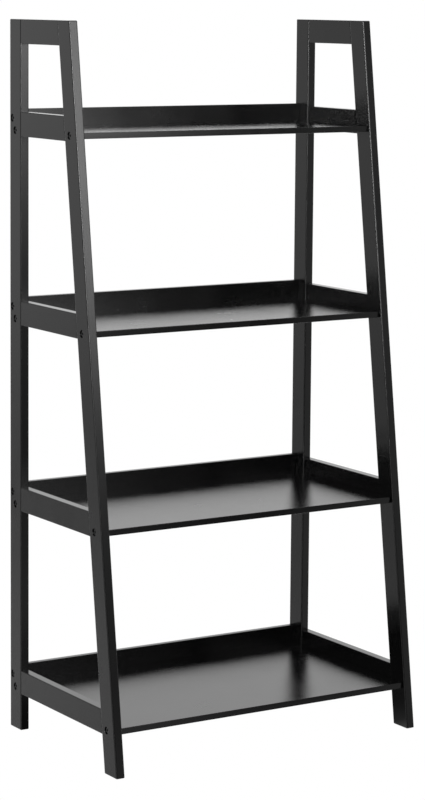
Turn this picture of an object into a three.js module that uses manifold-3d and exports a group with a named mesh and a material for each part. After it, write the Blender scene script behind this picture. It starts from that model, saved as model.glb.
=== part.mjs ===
// Ladder shelf, in millimetres: +X right, the front faces -Y, +Z up. The origin is on the floor, in
// the middle of the outline.
//
// Two side frames stand at the ends. Each has a plumb rear post and a sloping front leg, tied by a
// top rail and four side rails whose stub tenons sit in the post and the leg. Four trays join the
// frames: each is a panel with a low board standing in a rebate along its rear edge, held by three
// hex-socket bolts at each end, whose heads are sunk in the outer faces of the frames.

import * as THREE from 'three';
import { mergeVertices } from 'three/addons/utils/BufferGeometryUtils.js';
import Module from 'manifold-3d';

const wasm = await Module();
wasm.setup();

// Overall sizes
const height = 1300;
const width = 636;
const footDepth = 394; // rear of the posts to the front of the legs, on the floor
const topDepth = 220; // the same, at the top

// Frame members
const stockThickness = 17; // along X
const postDepth = 42; // along Y
const legDepth = 43; // along Y, at any height
const railSetBack = 0.4; // faces of a rail behind the faces of the posts and legs
const railHeight = 44;
const topRailHeight = 44;
const tenonThickness = 6;
const tenonShoulder = 8; // rail left above and below its tenon

// Shelves
const shelfCount = 4;
const lowestRailTop = 112; // top of the lowest side rails above the floor
const topShelfDrop = 165; // top of the highest side rails below the top of the frames
const panelThickness = 11;
const panelRise = 5; // underside of a panel above the underside of its side rails
const panelInset = 6; // front edge of a panel behind the front of the legs
const boardThickness = 11;
const boardRise = 4.5; // top of a board above the top of its side rails
const rebateDepth = 1; // of the step along a panel's rear edge that takes the board
const rearInset = 5; // rear of the panels and boards in front of the rear of the posts

// Bolts
const headDiameter = 13;
const headThickness = 2.4;
const headRecess = 2; // outer face of a head below the face of the frame
const headChamfer = 0.5;
const shankDiameter = 6;
const shankLength = 45;
const shankChamfer = 1;
const socketAcrossFlats = 4;
const socketDepth = 3;
const legBoltOffset = 3.5; // front bolt behind the middle of the leg

// Clearances
const jointGap = 0.2; // between any two faces that meet
const boltClearance = 0.3; // around a shank or a head
const holeRunout = 3; // bolt hole past the tip of the bolt
const mortiseWall = 1.5; // wood between a mortise and a counterbore
const cutOvershoot = 1; // of a cutting tool past the face where it comes out
const roundSides = 12;

// Sizes that follow from those above
const rearFace = footDepth / 2;
const postFront = rearFace - postDepth;
const innerHalfWidth = width / 2 - stockThickness;
const headRadius = headDiameter / 2;
const shankRadius = shankDiameter / 2;
const counterboreRadius = headRadius + boltClearance;
const counterboreDepth = headRecess + headThickness + jointGap;
const boltTipDepth = headRecess + headThickness + shankLength;
const postTenonDepth = postDepth / 2 - counterboreRadius - mortiseWall;
const legTenonDepth = legDepth / 2 - legBoltOffset - counterboreRadius - mortiseWall;
const boardBack = rearFace - rearInset;
const boardFront = boardBack - boardThickness;
const boardMiddle = (boardFront + boardBack) / 2;
const shelfSpacing = (height - topShelfDrop - lowestRailTop) / (shelfCount - 1);

const legFront = (z) => -footDepth / 2 + ((footDepth - topDepth) * z) / height;
const legBack = (z) => legFront(z) + legDepth;
const legMiddle = (z) => legFront(z) + legDepth / 2;

const shelves = Array.from({ length: shelfCount }, (_, index) => {
  const railTop = lowestRailTop + index * shelfSpacing;
  const panelBottom = railTop - railHeight + panelRise;
  const panelTop = panelBottom + panelThickness;
  return {
    number: index + 1,
    railTop,
    panelBottom,
    panelTop,
    panelMiddle: (panelBottom + panelTop) / 2,
    boardTop: railTop + boardRise,
    boardMiddle: (panelTop + railTop + boardRise) / 2,
  };
});

// The three bolts at each end of a shelf: where they cross the frame, and what they hold.
function boltPlaces(shelf) {
  return [
    { name: 'board', member: 'post', y: boardMiddle, z: shelf.boardMiddle },
    { name: 'rear', member: 'post', y: rearFace - postDepth / 2, z: shelf.panelMiddle },
    { name: 'front', member: 'leg', y: legMiddle(shelf.panelMiddle) + legBoltOffset, z: shelf.panelMiddle },
  ];
}

// Solids and meshes

function toSolid(geometry) {
  geometry.deleteAttribute('normal');
  geometry.deleteAttribute('uv');
  const merged = mergeVertices(geometry);
  return new wasm.Manifold(new wasm.Mesh({
    numProp: 3,
    vertProperties: Float32Array.from(merged.attributes.position.array),
    triVerts: Uint32Array.from(merged.index.array),
  }));
}

function toMesh(name, solid, material) {
  const cut = solid.getMesh();
  const geometry = new THREE.BufferGeometry();
  geometry.setAttribute('position', new THREE.BufferAttribute(cut.vertProperties, 3));
  geometry.setIndex(new THREE.BufferAttribute(cut.triVerts, 1));
  geometry.computeVertexNormals();
  const mesh = new THREE.Mesh(geometry, material);
  mesh.name = name;
  return mesh;
}

// A prism along X, from its outline in the YZ plane.
function prism(outline, fromX, toX) {
  const shape = new THREE.Shape(outline.map(([y, z]) => new THREE.Vector2(y, z)));
  const geometry = new THREE.ExtrudeGeometry(shape, { depth: toX - fromX, bevelEnabled: false });
  const alongY = new THREE.Vector3(0, 1, 0);
  const alongZ = new THREE.Vector3(0, 0, 1);
  const alongX = new THREE.Vector3(1, 0, 0);
  geometry.applyMatrix4(new THREE.Matrix4().makeBasis(alongY, alongZ, alongX));
  geometry.translate(fromX, 0, 0);
  return toSolid(geometry);
}

function rectangle(fromY, toY, fromZ, toZ) {
  return [[fromY, fromZ], [toY, fromZ], [toY, toZ], [fromY, toZ]];
}

// A round rod along X.
function rod(radius, fromX, toX, y, z, sides = roundSides) {
  const geometry = new THREE.CylinderGeometry(radius, radius, Math.abs(toX - fromX), sides);
  geometry.rotateZ(Math.PI / 2);
  geometry.translate((fromX + toX) / 2, y, z);
  return toSolid(geometry);
}

function cutAll(solid, tools) {
  return tools.reduce((rest, tool) => rest.subtract(tool), solid);
}

function blackLacquer() {
  const look = { color: 0x1b1b1c, roughness: 0.4, metalness: 0, flatShading: true };
  return new THREE.MeshStandardMaterial(look);
}

function blackSteel() {
  const look = { color: 0x19191a, roughness: 0.45, metalness: 0.7, flatShading: true };
  return new THREE.MeshStandardMaterial(look);
}

// Side frames. A member lies between x = 0 and x = stockThickness of its frame. The outer face is
// at x = 0 in the left frame, and at x = stockThickness in the right one.

function outerFace(side) {
  return side < 0 ? 0 : stockThickness;
}

function boltHoles(side, member) {
  const at = (depth) => outerFace(side) - side * depth;
  const holeRadius = shankRadius + boltClearance;
  const throughDepth = stockThickness + cutOvershoot;
  const places = shelves.flatMap(boltPlaces).filter((place) => place.member === member);
  return places.flatMap(({ y, z }) => [
    rod(counterboreRadius, at(-cutOvershoot), at(counterboreDepth), y, z),
    rod(holeRadius, at(-cutOvershoot), at(throughDepth), y, z),
  ]);
}

// Outline of a rail's tenon, or with a clearance the outline of its mortise.
function tenonOutline(railTop, railBottom, clearance) {
  const top = railTop - tenonShoulder + clearance;
  const bottom = railBottom + tenonShoulder - clearance;
  const rearEnd = postFront + postTenonDepth + clearance;
  const frontEnd = (z) => legBack(z) - legTenonDepth - clearance;
  return [[frontEnd(bottom), bottom], [rearEnd, bottom], [rearEnd, top], [frontEnd(top), top]];
}

function tenonSlab(railTop, railBottom, clearance) {
  const edge = (stockThickness - tenonThickness) / 2 - clearance;
  return prism(tenonOutline(railTop, railBottom, clearance), edge, stockThickness - edge);
}

const railSpans = [
  { name: 'top_rail', top: height, bottom: height - topRailHeight },
  ...shelves.map((shelf) => ({
    name: `side_rail_${shelf.number}`,
    top: shelf.railTop,
    bottom: shelf.railTop - railHeight,
  })),
];

function mortises() {
  return railSpans.map((span) => tenonSlab(span.top, span.bottom, jointGap));
}

function rearPost(side, label) {
  const blank = prism(rectangle(postFront, rearFace, 0, height), 0, stockThickness);
  const solid = cutAll(blank, [...mortises(), ...boltHoles(side, 'post')]);
  return toMesh(`${label}_rear_post`, solid, blackLacquer());
}

function frontLeg(side, label) {
  const outline = [
    [legFront(0), 0],
    [legBack(0), 0],
    [legBack(height), height],
    [legFront(height), height],
  ];
  const blank = prism(outline, 0, stockThickness);
  const solid = cutAll(blank, [...mortises(), ...boltHoles(side, 'leg')]);
  return toMesh(`${label}_front_leg`, solid, blackLacquer());
}

function rail(label, span) {
  const rear = postFront - jointGap;
  const front = (z) => legBack(z) + jointGap;
  const outline = [
    [front(span.bottom), span.bottom],
    [rear, span.bottom],
    [rear, span.top],
    [front(span.top), span.top],
  ];
  const blank = prism(outline, railSetBack, stockThickness - railSetBack);
  const solid = blank.add(tenonSlab(span.top, span.bottom, 0));
  return toMesh(`${label}_${span.name}`, solid, blackLacquer());
}

function sideFrame(side, label) {
  const frame = new THREE.Group();
  frame.position.x = side < 0 ? -width / 2 : width / 2 - stockThickness;
  frame.add(rearPost(side, label), frontLeg(side, label));
  for (const span of railSpans) {
    frame.add(rail(label, span));
  }
  return frame;
}

// Trays. Panels and boards reach from one frame's inner face to the other's.

// Blind holes in both ends of a piece, for the tips of the bolts.
function endHoles(places) {
  const depth = boltTipDepth + holeRunout;
  return [-1, 1].flatMap((side) => places.map((place) =>
    rod(shankRadius + boltClearance, (side * width) / 2, side * (width / 2 - depth), place.y, place.z)));
}

function shelfPanel(shelf) {
  const end = innerHalfWidth - jointGap;
  const front = legFront(shelf.panelMiddle) + panelInset;
  const step = boardFront - jointGap;
  const stepBottom = shelf.panelTop - rebateDepth;
  const outline = [
    [front, shelf.panelBottom],
    [boardBack, shelf.panelBottom],
    [boardBack, stepBottom],
    [step, stepBottom],
    [step, shelf.panelTop],
    [front, shelf.panelTop],
  ];
  const blank = prism(outline, -end, end);
  const places = boltPlaces(shelf).filter((place) => place.name !== 'board');
  return toMesh(`shelf_panel_${shelf.number}`, cutAll(blank, endHoles(places)), blackLacquer());
}

function backBoard(shelf) {
  const end = innerHalfWidth - jointGap;
  const bottom = shelf.panelTop - rebateDepth + jointGap;
  const blank = prism(rectangle(boardFront, boardBack, bottom, shelf.boardTop), -end, end);
  const places = boltPlaces(shelf).filter((place) => place.name === 'board');
  return toMesh(`back_board_${shelf.number}`, cutAll(blank, endHoles(places)), blackLacquer());
}

// Bolts. Each is turned about X from the outer face of its head, then given its hex socket.

function boltSolid() {
  const profile = [
    [0, 0],
    [headRadius - headChamfer, 0],
    [headRadius, headChamfer],
    [headRadius, headThickness],
    [shankRadius, headThickness],
    [shankRadius, headThickness + shankLength - shankChamfer],
    [shankRadius - shankChamfer, headThickness + shankLength],
    [0, headThickness + shankLength],
  ].map(([radius, depth]) => new THREE.Vector2(radius, depth));
  const turned = new THREE.LatheGeometry(profile, roundSides).rotateZ(-Math.PI / 2);
  const socket = rod(socketAcrossFlats / Math.sqrt(3), -cutOvershoot, socketDepth, 0, 0, 6);
  return toSolid(turned).subtract(socket);
}

function bolt(side, label, shelf, place) {
  const mesh = toMesh(`${label}_${place.name}_bolt_${shelf.number}`, boltSolid(), blackSteel());
  mesh.position.set(side * (width / 2 - headRecess), place.y, place.z);
  mesh.rotation.z = side < 0 ? 0 : Math.PI;
  return mesh;
}

const ladderShelf = new THREE.Group();
for (const [side, label] of [[-1, 'left'], [1, 'right']]) {
  ladderShelf.add(sideFrame(side, label));
  for (const shelf of shelves) {
    for (const place of boltPlaces(shelf)) {
      ladderShelf.add(bolt(side, label, shelf, place));
    }
  }
}
for (const shelf of shelves) {
  ladderShelf.add(shelfPanel(shelf), backBoard(shelf));
}

export default ladderShelf;
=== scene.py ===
"""A black ladder shelf: two side frames with plumb rear posts and sloping front legs carry four
trays, each a panel with a low board standing in a rebate along its rear edge. Socket bolts hold
the trays.

Metres, +X to the right, the front faces -Y, +Z up.
"""

import math

import bmesh
import bpy
from mathutils import Matrix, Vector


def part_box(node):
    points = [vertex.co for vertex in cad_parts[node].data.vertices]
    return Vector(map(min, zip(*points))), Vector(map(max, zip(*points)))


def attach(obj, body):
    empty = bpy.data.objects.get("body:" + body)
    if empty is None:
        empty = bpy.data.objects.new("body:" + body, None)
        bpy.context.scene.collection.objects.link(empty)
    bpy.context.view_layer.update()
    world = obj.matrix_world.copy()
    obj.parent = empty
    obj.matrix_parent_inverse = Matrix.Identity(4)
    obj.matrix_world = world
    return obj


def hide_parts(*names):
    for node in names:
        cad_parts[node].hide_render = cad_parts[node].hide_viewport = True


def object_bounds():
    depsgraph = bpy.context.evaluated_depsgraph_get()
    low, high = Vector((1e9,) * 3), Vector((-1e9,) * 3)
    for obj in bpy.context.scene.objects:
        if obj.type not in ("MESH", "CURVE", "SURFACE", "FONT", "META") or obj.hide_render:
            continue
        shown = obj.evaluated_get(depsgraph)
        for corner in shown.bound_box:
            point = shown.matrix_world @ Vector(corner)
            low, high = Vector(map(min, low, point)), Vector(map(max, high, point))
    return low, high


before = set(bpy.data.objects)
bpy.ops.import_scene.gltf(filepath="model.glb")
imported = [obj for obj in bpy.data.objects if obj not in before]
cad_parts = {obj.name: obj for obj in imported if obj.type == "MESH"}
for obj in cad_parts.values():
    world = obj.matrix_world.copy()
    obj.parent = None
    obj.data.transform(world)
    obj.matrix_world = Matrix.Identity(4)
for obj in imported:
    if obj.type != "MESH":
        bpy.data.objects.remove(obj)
cad_low, cad_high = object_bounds()
scene = bpy.context.scene

X, Y, Z = range(3)
SHELVES = (1, 2, 3, 4)
SIDES = ("left", "right")
INWARD = {"left": 1, "right": -1}  # along X, from a frame's outer face
RAILS = (("top", "top_rail"), *((number, f"side_rail_{number}") for number in SHELVES))
BOLT_KINDS = ("board", "rear", "front")

# Camera
CAMERA_AT = (-2.51083, -3.99392, 1.35106)
CAMERA_YAW, CAMERA_PITCH, CAMERA_ROLL = -32.08, -6.62, 0.46  # degrees
CAMERA_SENSOR = 36  # mm
CAMERA_LENS = 117.66  # mm
CAMERA_RISE = -0.131  # share of the picture's height
CAMERA_NEAR, CAMERA_FAR = 0.1, 50

# Roundings: radius, steps
EDGE_ROUND = (0.0024, 4)  # of the posts and legs
END_ROUND = (0.0018, 3)  # of their ends
RAIL_ROUND = (0.0014, 4)
PANEL_ROUND = (0.0010, 4)  # of the panels and boards
PANEL_END_ROUND = (0.0004, 2)  # of their ends
RIM_ROUND = (0.0004, 2)  # of the sunk holes
HEAD_ROUND = (0.0006, 3)  # of a bolt's head
TIP_ROUND = (0.0009, 1)  # of the end of its shank

# Fits
JOINT = 0.0002  # between faces that meet
OVERSHOOT = 0.001  # of a cutting tool
BOLT_CLEARANCE = 0.0003  # around a head or a shank

# Bolts and their holes
HEAD_THICKNESS = 0.0024
HEAD_SEAT = HEAD_THICKNESS + JOINT  # from the outer face of a head to the bottom of its hole
SHANK_RADIUS = 0.003
SHANK_HOLE = SHANK_RADIUS + BOLT_CLEARANCE
SOCKET_FLATS = 0.004
SOCKET_DEPTH = 0.003
HOLE_RUNOUT = 0.003  # of a blind hole past the tip of its bolt

# Sides of round and hexagonal shapes
HEAD_SIDES = 48
SUNK_HOLE_SIDES = 40
SHANK_SIDES = 24
SOCKET_SIDES = 6

# Tolerances and shading
IN_PLANE = 1e-6  # metres from an end face
ON_RIM = 2e-5  # metres from a circle
RUNS_ALONG = 0.9  # least cosine between an edge and its axis
SHARP_ANGLE = 46  # degrees
FLAT_WEIGHT = 100  # of large faces in the shading of corners

# Finishes
WHITE = (1.0, 1.0, 1.0, 1.0)
COAT_IOR = 1.52
BODY_ROUGHNESS = 0.5  # of the dark body under a coat
LACQUER_TONES = ((0.0012, 0.0012, 0.0013, 1.0), (0.0026, 0.0026, 0.0028, 1.0))
LACQUER_ROUGHNESS = (0.245, 0.275)
OXIDE_TONES = ((0.003, 0.003, 0.0034, 1.0), (0.009, 0.009, 0.0096, 1.0))
OXIDE_ROUGHNESS = (0.2, 0.3)
GRAIN_WIDTH = 1 / 60  # of a cell of the grain's pattern
GRAIN_LENGTH = 0.4  # of the same cell
NOISE_SPAN = (0.3, 0.7)  # levels between which nearly all of a noise lies
PORE_SPAN = (0.35, 0.65)  # levels of the pores' noise from deepest to flush

# Floor and light
FLOOR_HALF = 20  # half the side of the floor
FLOOR_DROP = 0.0005  # below the feet
FRONT_LIGHT_Y = -2.0  # of the tall soft light in front
FRONT_LIGHT_THICKNESS = 0.001
FRONT_UPWARD = (  # Z, strength
    (-0.6, 0.52),
    (-0.3, 0.52),
    (-0.1, 0.30),
    (0.1, 0.16),
    (0.3, 0.36),
    (0.5, 0.36),
    (0.6, 0.47),
    (0.7, 0.67),
    (0.8, 0.90),
    (0.9, 1.38),
    (1.0, 2.3),
    (1.1, 3.3),
    (1.2, 4.2),
    (1.35, 4.9),
    (1.5, 5.4),
    (1.75, 5.05),
    (2.4, 5.0),
)
FRONT_ACROSS = (  # X, share
    (-3.5, 0.2),
    (-2.4, 0.2),
    (-2.3, 4.6),
    (-1.6, 4.6),
    (-1.5, 0.2),
    (0.1, 0.2),
    (0.2, 1.08),
    (0.9, 1.08),
    (1.0, 0.0),
    (3.0, 0.0),
)
FRONT_REST = (  # X, strength added at every height
    (-3.5, 0.0),
    (0.9, 0.0),
    (1.0, 0.04),
    (1.4, 0.04),
    (1.55, 0.48),
    (3.0, 0.48),
)
FLOOR_SHADE = (  # Y, level under the lowest shelf
    (-0.20, 0.7),
    (-0.14, 0.2),
    (-0.05, 0.08),
    (0.20, 0.05),
)
BEHIND_UPWARD = (  # Z of the direction, level at the left
    (-0.5, 0.38),
    (-0.30, 0.42),
    (-0.285, 0.45),
    (-0.262, 0.95),
    (-0.23, 1.35),
    (-0.221, 0.0),
    (-0.178, 0.0),
    (-0.168, 0.75),
    (-0.135, 0.68),
    (-0.05, 0.66),
    (-0.02, 0.76),
    (0.04, 0.98),
    (0.10, 0.15),
    (1.0, 0.15),
)
BEHIND_ACROSS = (  # X of the direction, share
    (-1.0, 0.76),
    (-0.60, 0.74),
    (-0.50, 0.91),
    (-0.46, 1.0),
    (-0.35, 1.05),
    (-0.1, 2.2),
    (0.2, 2.2),
    (0.4, 1.0),
    (1.0, 1.0),
)
AHEAD_UPWARD = (  # Z of the direction, level ahead of the object
    (-0.5, 0.40),
    (-0.2, 0.42),
    (-0.1, 0.33),
    (-0.03, 0.27),
    (0.05, 0.36),
    (0.25, 0.44),
)
WALL_FADE = (-0.2, 0.2)  # X of the direction, from the levels at the left to the white wall
SIDE_FADE = (-0.45, 0.05)  # Y of the direction, from what lies ahead to what lies behind


# --- Camera -------------------------------------------------------------------------------------


def make_camera():
    data = bpy.data.cameras.new("camera")
    data.sensor_width = CAMERA_SENSOR
    data.lens = CAMERA_LENS
    data.shift_y = CAMERA_RISE
    data.clip_start, data.clip_end = CAMERA_NEAR, CAMERA_FAR
    camera = bpy.data.objects.new("camera", data)
    scene.collection.objects.link(camera)
    turn = (
        Matrix.Rotation(math.radians(CAMERA_YAW), 4, "Z")
        @ Matrix.Rotation(math.radians(90 + CAMERA_PITCH), 4, "X")
        @ Matrix.Rotation(math.radians(CAMERA_ROLL), 4, "Z")
    )
    camera.matrix_world = Matrix.Translation(CAMERA_AT) @ turn
    scene.camera = camera


make_camera()


# --- Places read from the CAD nodes -------------------------------------------------------------


def leg_span(side):
    """Y of the front and back of a leg at the floor, and how much it leans back for each metre."""
    node = f"{side}_front_leg"
    low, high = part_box(node)
    feet = [v.co.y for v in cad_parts[node].data.vertices if v.co.z < low.z + IN_PLANE]
    front, back = min(feet), max(feet)
    return front, back, (high.y - back) / (high.z - low.z)


def outer_and_inner(side, node):
    """X of the outer and the inner end of a node in a side frame."""
    low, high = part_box(node)
    return (low.x, high.x) if INWARD[side] > 0 else (high.x, low.x)


class BoltPlace:
    """Where a bolt crosses its side frame. Its head's outer face and its tip are places along X."""

    def __init__(self, side, kind, number):
        self.node = f"{side}_{kind}_bolt_{number}"
        self.inward = INWARD[side]
        self.head, self.tip = outer_and_inner(side, self.node)
        low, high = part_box(self.node)
        self.y, self.z = (low.y + high.y) / 2, (low.z + high.z) / 2
        self.radius = (high.z - low.z) / 2


BOLTS = {
    (side, kind, number): BoltPlace(side, kind, number)
    for side in SIDES
    for kind in BOLT_KINDS
    for number in SHELVES
}


# --- Materials ----------------------------------------------------------------------------------


class Nodes:
    """The nodes of a new material or of the surroundings. Methods take and return sockets."""

    def __init__(self, owner):
        self.owner = owner
        owner.use_nodes = True
        self.tree = owner.node_tree
        self.tree.nodes.clear()

    def add(self, kind, values=None, **settings):
        node = self.tree.nodes.new("ShaderNode" + kind)
        for key, value in settings.items():
            setattr(node, key, value)
        for key, value in (values or {}).items():
            node.inputs[key].default_value = value
        return node

    def link(self, source, target):
        self.tree.links.new(source, target)

    def output(self, shader, kind="OutputMaterial"):
        self.link(shader, self.add(kind).inputs[0])

    def place(self, kind="Object"):
        """X, Y and Z on the piece or, for Generated, of a direction in the surroundings."""
        split = self.add("SeparateXYZ")
        self.link(self.add("TexCoord").outputs[kind], split.inputs[0])
        return tuple(split.outputs)

    def ramp(self, source, span, levels=(0.0, 1.0)):
        """Maps source from the ends of span to the two levels, and holds them past the ends."""
        node = self.add("MapRange", {1: span[0], 2: span[1], 3: levels[0], 4: levels[1]})
        self.link(source, node.inputs[0])
        return node.outputs[0]

    def curve(self, source, points):
        """Levels along source, straight between (place, level) points."""
        low, high = points[0][0], points[-1][0]
        node = self.add("ValToRGB")
        elements = node.color_ramp.elements
        while len(elements) < len(points):
            elements.new(0.5)  # its position is set below
        for element, (place, level) in zip(elements, points):
            element.position = (place - low) / (high - low)
            element.color = (level, level, level, 1.0)
        self.link(self.ramp(source, (low, high)), node.inputs[0])
        return node.outputs[0]

    def times(self, a, b):
        node = self.add("Math", operation="MULTIPLY")
        self.link(a, node.inputs[0])
        self.link(b, node.inputs[1])
        return node.outputs[0]

    def blend(self, share, low, high=None):
        """Goes from low to high, or to 1 without a high, as share goes from 0 to 1."""
        node = self.add("Mix", {3: 1.0}, data_type="FLOAT")
        self.link(share, node.inputs[0])
        self.link(low, node.inputs[2])
        if high is not None:
            self.link(high, node.inputs[3])
        return node.outputs[0]

    def tint(self, share, tones):
        """Goes from the first tone to the second as share goes from 0 to 1."""
        node = self.add("MixRGB", {1: tones[0], 2: tones[1]})
        self.link(share, node.inputs[0])
        return node.outputs[0]

    def noise(self, where, scale, detail, roughness=0.5):
        node = self.add("TexNoise", {"Scale": scale, "Detail": detail, "Roughness": roughness})
        self.link(where, node.inputs["Vector"])
        return node.outputs[0]

    def bump(self, height, strength, distance, under=None):
        """A bumpy surface, over the bumps of another one where under is given."""
        node = self.add("Bump", {"Strength": strength, "Distance": distance})
        self.link(height, node.inputs["Height"])
        if under is not None:
            self.link(under, node.inputs["Normal"])
        return node.outputs[0]

    def glow(self, strength):
        node = self.add("Emission")
        self.link(strength, node.inputs["Strength"])
        return node.outputs[0]

    def coat(self, tone, roughness, surface):
        """Finishes the material as a clear satin coat over a dark body."""
        body = self.add("BsdfDiffuse", {"Roughness": BODY_ROUGHNESS})
        self.link(tone, body.inputs["Color"])
        gloss = self.add("BsdfAnisotropic", {"Color": WHITE}, distribution="BECKMANN")
        self.link(roughness, gloss.inputs["Roughness"])
        self.link(surface, gloss.inputs["Normal"])
        skin = self.add("Fresnel", {"IOR": COAT_IOR})
        both = self.add("MixShader")
        for source, target in ((skin, 0), (body, 1), (gloss, 2)):
            self.link(source.outputs[0], both.inputs[target])
        self.output(both.outputs[0])


def lacquered_wood(name, grain_axis, lean=0.0):
    """Thin black satin lacquer over wood whose pores run along an axis, turned about X by lean."""
    n = Nodes(bpy.data.materials.new(name))
    where = n.add("TexCoord").outputs["Object"]
    cell = [GRAIN_WIDTH] * 3
    cell[grain_axis] = GRAIN_LENGTH
    grain = n.add("Mapping", {"Scale": cell, "Rotation": (lean, 0, 0)}, vector_type="TEXTURE")
    n.link(where, grain.inputs["Vector"])

    pores = n.noise(grain.outputs[0], scale=9.0, detail=3.0, roughness=0.6)
    waves = n.noise(grain.outputs[0], scale=1.2, detail=2.0)
    peel = n.noise(where, scale=900.0, detail=1.0)
    wipe = n.noise(where, scale=14.0, detail=3.0, roughness=0.55)

    fine = n.bump(n.ramp(pores, PORE_SPAN), strength=0.03, distance=0.0003)
    broad = n.bump(waves, strength=0.02, distance=0.0010, under=fine)
    orange = n.bump(peel, strength=0.025, distance=0.0002, under=broad)
    n.coat(n.tint(pores, LACQUER_TONES), n.ramp(wipe, NOISE_SPAN, LACQUER_ROUGHNESS), orange)
    return n.owner


def blackened_steel(name):
    """Black oxide on steel, turned, with a trace of oil."""
    n = Nodes(bpy.data.materials.new(name))
    where = n.add("TexCoord").outputs["Object"]
    spots = n.noise(where, scale=700.0, detail=3.0, roughness=0.6)
    pitted = n.bump(spots, strength=0.08, distance=0.0002)
    n.coat(n.tint(spots, OXIDE_TONES), n.ramp(spots, NOISE_SPAN, OXIDE_ROUGHNESS), pitted)
    return n.owner


LEG_LEAN = leg_span("left")[2]
WOOD_UP = lacquered_wood("lacquered_wood_grain_up", Z)
WOOD_LEANING = lacquered_wood("lacquered_wood_grain_leaning", Z, lean=-math.atan(LEG_LEAN))
WOOD_BACK = lacquered_wood("lacquered_wood_grain_back", Y)
WOOD_ACROSS = lacquered_wood("lacquered_wood_grain_across", X)
OXIDE = blackened_steel("blackened_steel")


# --- Shaping ------------------------------------------------------------------------------------


def block(low, high, lean=0.0):
    """A block between two corners, pushed along Y by lean for each metre of height."""
    size = [b - a for a, b in zip(low, high)]
    middle = [(a + b) / 2 for a, b in zip(low, high)]
    shear = Matrix.Identity(4)
    shear[Y][Z] = lean
    bm = bmesh.new()
    bmesh.ops.create_cube(
        bm, size=1, matrix=Matrix.Translation(middle) @ shear @ Matrix.Diagonal((*size, 1))
    )
    return bm


def pin(bm, place, radius, from_x, to_x, sides):
    """Adds a rod along X through a bolt's place."""
    turn = Matrix.Rotation(math.radians(90), 4, "Y")
    bmesh.ops.create_cone(
        bm,
        cap_ends=True,
        segments=sides,
        radius1=radius,
        radius2=radius,
        depth=abs(to_x - from_x),
        matrix=Matrix.Translation(((from_x + to_x) / 2, place.y, place.z)) @ turn,
    )


def combine(bm, tool, operation):
    """The mesh after the tool is cut from it or joined to it."""
    made = []
    for name, source in (("cut_blank", bm), ("cut_tool", tool)):
        bmesh.ops.recalc_face_normals(source, faces=source.faces)
        mesh = bpy.data.meshes.new(name)
        source.to_mesh(mesh)
        source.free()
        made.append(bpy.data.objects.new(name, mesh))
        scene.collection.objects.link(made[-1])
    blank, cutter = made
    boolean = blank.modifiers.new("cut", "BOOLEAN")
    boolean.object = cutter
    boolean.operation = operation
    boolean.solver = "EXACT"
    result = bmesh.new()
    result.from_object(blank, bpy.context.evaluated_depsgraph_get())
    for each in made:
        bpy.data.meshes.remove(each.data)
    return result


def cut(bm, tool):
    return combine(bm, tool, "DIFFERENCE")


def join(bm, tool):
    return combine(bm, tool, "UNION")


def round_edges(bm, edges, rounding):
    radius, steps = rounding
    bmesh.ops.bevel(
        bm,
        geom=edges,
        offset=radius,
        offset_type="OFFSET",
        segments=steps,
        profile=0.5,
        affect="EDGES",
        clamp_overlap=True,
        material=-1,
    )


def edges_along(bm, axis):
    """Edges that run mostly along an axis."""
    return [
        e
        for e in bm.edges
        if abs((e.verts[1].co - e.verts[0].co).normalized()[axis]) > RUNS_ALONG
    ]


def end_edges(bm, axis):
    """Edges round the two end faces across an axis."""
    places = [v.co[axis] for v in bm.verts]
    low, high = min(places) + IN_PLANE, max(places) - IN_PLANE
    return [
        e
        for e in bm.edges
        if all(v.co[axis] < low for v in e.verts) or all(v.co[axis] > high for v in e.verts)
    ]


def ring_edges(bm, place, radius, x):
    """Edges of a circle round a bolt's place, in the plane at x."""
    return [
        e
        for e in bm.edges
        if all(
            abs(v.co.x - x) < ON_RIM
            and abs(math.hypot(v.co.y - place.y, v.co.z - place.z) - radius) < ON_RIM
            for v in e.verts
        )
    ]


def rounded_block(low, high, axis, edge_round, end_round, lean=0.0):
    """A block with rounded edges along an axis and rounded ends across it."""
    bm = block(low, high, lean)
    round_edges(bm, edges_along(bm, axis), edge_round)
    round_edges(bm, end_edges(bm, axis), end_round)
    return bm


# --- Pieces -------------------------------------------------------------------------------------


def add_piece(name, bm, material, node):
    """Makes a piece of the mesh, in place of a CAD node. Its flat faces are shaded flat and its
    roundings smooth."""
    bmesh.ops.recalc_face_normals(bm, faces=bm.faces)
    mesh = bpy.data.meshes.new(name)
    bm.to_mesh(mesh)
    bm.free()
    mesh.shade_smooth()
    mesh.set_sharp_from_angle(angle=math.radians(SHARP_ANGLE))
    mesh.materials.append(material)
    piece = bpy.data.objects.new(name, mesh)
    scene.collection.objects.link(piece)
    flat = piece.modifiers.new("flat_faces", "WEIGHTED_NORMAL")
    flat.weight = FLAT_WEIGHT
    flat.keep_sharp = True
    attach(piece, "root")
    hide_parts(node)


def bore(bm, side, kinds):
    """Cuts the sunk holes of the bolts in a post or a leg, and eases their rims."""
    inward = INWARD[side]
    outer, inner = outer_and_inner(side, f"{side}_rear_post")
    places = [BOLTS[side, kind, number] for kind in kinds for number in SHELVES]
    radius = places[0].radius + BOLT_CLEARANCE
    sunk = bmesh.new()
    for place in places:
        bottom = place.head + inward * HEAD_SEAT
        pin(sunk, place, radius, outer - inward * OVERSHOOT, bottom, SUNK_HOLE_SIDES)
    bm = cut(bm, sunk)
    through = bmesh.new()
    for place in places:
        pin(through, place, SHANK_HOLE, outer, inner + inward * OVERSHOOT, SHANK_SIDES)
    bm = cut(bm, through)
    rims = [e for place in places for e in ring_edges(bm, place, radius, outer)]
    round_edges(bm, rims, RIM_ROUND)
    return bm


def rear_post(side):
    node = f"{side}_rear_post"
    bm = rounded_block(*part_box(node), Z, EDGE_ROUND, END_ROUND)
    add_piece(f"{side}_post", bore(bm, side, ("board", "rear")), WOOD_UP, node)


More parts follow.
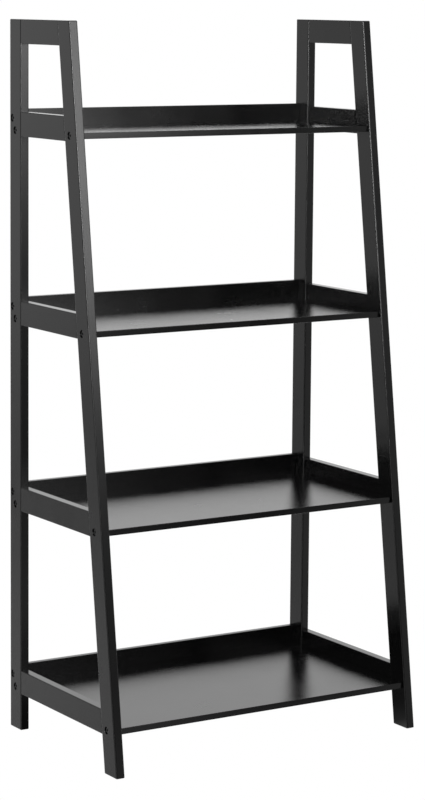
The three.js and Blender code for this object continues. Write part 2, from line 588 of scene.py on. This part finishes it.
def front_leg(side):
    node = f"{side}_front_leg"
    low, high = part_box(node)
    front, back, lean = leg_span(side)
    middle = lean * (high.z - low.z) / 2
    corner_low = (low.x, front + middle, low.z)
    corner_high = (high.x, back + middle, high.z)
    bm = rounded_block(corner_low, corner_high, Z, EDGE_ROUND, END_ROUND, lean)
    add_piece(f"{side}_leg", bore(bm, side, ("front",)), WOOD_LEANING, node)


def rail(side, label, cad_name):
    """A rail between the leg and the post, with its front end cut to the slope of the leg."""
    node = f"{side}_{cad_name}"
    low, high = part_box(node)
    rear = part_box(f"{side}_rear_post")[0].y - JOINT
    _, back, lean = leg_span(side)
    bm = block(low, (high.x, rear, high.z))
    for v in bm.verts:
        if v.co.y < rear - JOINT:
            v.co.y = back + lean * v.co.z + JOINT
    round_edges(bm, edges_along(bm, Y), RAIL_ROUND)
    add_piece(f"{side}_rail_{label}", bm, WOOD_BACK, node)


def end_holes(bm, number, kinds):
    """Cuts the blind holes for the tips of the bolts in both ends of a panel or board."""
    holes = bmesh.new()
    for side in SIDES:
        for kind in kinds:
            place = BOLTS[side, kind, number]
            bottom = place.tip + place.inward * HOLE_RUNOUT
            pin(holes, place, SHANK_HOLE, place.head, bottom, SHANK_SIDES)
    return cut(bm, holes)


def shelf_panel(number):
    node = f"shelf_panel_{number}"
    low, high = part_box(node)
    bm = rounded_block(low, high, X, PANEL_ROUND, PANEL_END_ROUND)
    board_low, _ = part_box(f"back_board_{number}")
    step_low = (low.x - OVERSHOOT, board_low.y - JOINT, board_low.z - JOINT)
    bm = cut(bm, block(step_low, [place + OVERSHOOT for place in high]))
    bm = end_holes(bm, number, ("rear", "front"))
    add_piece(f"panel_{number}", bm, WOOD_ACROSS, node)


def back_board(number):
    node = f"back_board_{number}"
    bm = rounded_block(*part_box(node), X, PANEL_ROUND, PANEL_END_ROUND)
    add_piece(f"board_{number}", end_holes(bm, number, ("board",)), WOOD_ACROSS, node)


def bolt(place):
    """A turned bolt with a broad low head, a hex socket and a plain shank."""
    inward = place.inward
    seat = place.head + inward * HEAD_THICKNESS
    bm = bmesh.new()
    pin(bm, place, place.radius, place.head, seat, HEAD_SIDES)
    round_edges(bm, ring_edges(bm, place, place.radius, place.head), HEAD_ROUND)
    shank = bmesh.new()
    pin(shank, place, SHANK_RADIUS, seat - inward * OVERSHOOT, place.tip, SHANK_SIDES)
    round_edges(shank, ring_edges(shank, place, SHANK_RADIUS, place.tip), TIP_ROUND)
    bm = join(bm, shank)
    mouth = place.head - inward * OVERSHOOT
    bottom = place.head + inward * SOCKET_DEPTH
    socket = bmesh.new()
    pin(socket, place, SOCKET_FLATS / math.sqrt(3), mouth, bottom, SOCKET_SIDES)
    add_piece(f"turned_{place.node}", cut(bm, socket), OXIDE, place.node)


for side in SIDES:
    rear_post(side)
    front_leg(side)
    for label, cad_name in RAILS:
        rail(side, label, cad_name)
for number in SHELVES:
    shelf_panel(number)
    back_board(number)
for place in BOLTS.values():
    bolt(place)


# --- Floor and light ----------------------------------------------------------------------------


def add_stage(name, bm, n):
    mesh = bpy.data.meshes.new(name)
    bm.to_mesh(mesh)
    bm.free()
    mesh.materials.append(n.owner)
    thing = bpy.data.objects.new(name, mesh)
    scene.collection.objects.link(thing)
    thing.visible_diffuse = False
    return thing


def make_floor():
    """A white floor. It sends the object no light, because its share is in the surroundings."""
    bm = bmesh.new()
    drop = Matrix.Translation((0, 0, -FLOOR_DROP))
    bmesh.ops.create_grid(bm, x_segments=1, y_segments=1, size=FLOOR_HALF, matrix=drop)
    n = Nodes(bpy.data.materials.new("white_floor"))
    n.output(n.add("Emission", {"Color": WHITE, "Strength": 1.0}).outputs[0])
    add_stage("floor", bm, n).visible_glossy = False


def make_floor_shade():
    """The shaded floor under the lowest shelf, as the legs and posts mirror it."""
    bm = block((cad_low.x, cad_low.y, -FLOOR_DROP), (cad_high.x, cad_high.y, -FLOOR_DROP / 2))
    n = Nodes(bpy.data.materials.new("floor_shade"))
    _, y, _ = n.place()
    n.output(n.glow(n.curve(y, FLOOR_SHADE)))
    add_stage("floor_shade", bm, n).visible_camera = False


def make_front_light():
    """A tall strip of soft light in front, brightest above, with a stronger band far to its left.
    Only the object sees it."""
    left, right = FRONT_ACROSS[0][0], FRONT_ACROSS[-1][0]
    bottom, top = FRONT_UPWARD[0][0], FRONT_UPWARD[-1][0]
    rear = FRONT_LIGHT_Y + FRONT_LIGHT_THICKNESS
    bm = block((left, FRONT_LIGHT_Y, bottom), (right, rear, top))
    n = Nodes(bpy.data.materials.new("front_light"))
    x, _, z = n.place()
    both = n.add("AddShader")
    n.link(n.glow(n.times(n.curve(z, FRONT_UPWARD), n.curve(x, FRONT_ACROSS))), both.inputs[0])
    n.link(n.glow(n.curve(x, FRONT_REST)), both.inputs[1])
    n.output(both.outputs[0])
    light = add_stage("front_light", bm, n)
    light.visible_camera = False
    light.visible_shadow = False


def make_world():
    """Surroundings that light the object and show in its gloss. The camera sees plain white."""
    scene.world = bpy.data.worlds.new("studio")
    n = Nodes(scene.world)
    right, back, up = n.place("Generated")
    left_or_wall = n.blend(n.ramp(right, WALL_FADE), n.curve(up, BEHIND_UPWARD))
    behind = n.times(left_or_wall, n.curve(right, BEHIND_ACROSS))
    mirrored = n.blend(n.ramp(back, SIDE_FADE), n.curve(up, AHEAD_UPWARD), behind)
    seen = n.blend(n.add("LightPath").outputs["Is Camera Ray"], mirrored)
    background = n.add("Background", {"Color": WHITE})
    n.link(seen, background.inputs["Strength"])
    n.output(background.outputs[0], "OutputWorld")


make_front_light()
make_floor()
make_floor_shade()
make_world()
scene.view_settings.view_transform = "Standard"
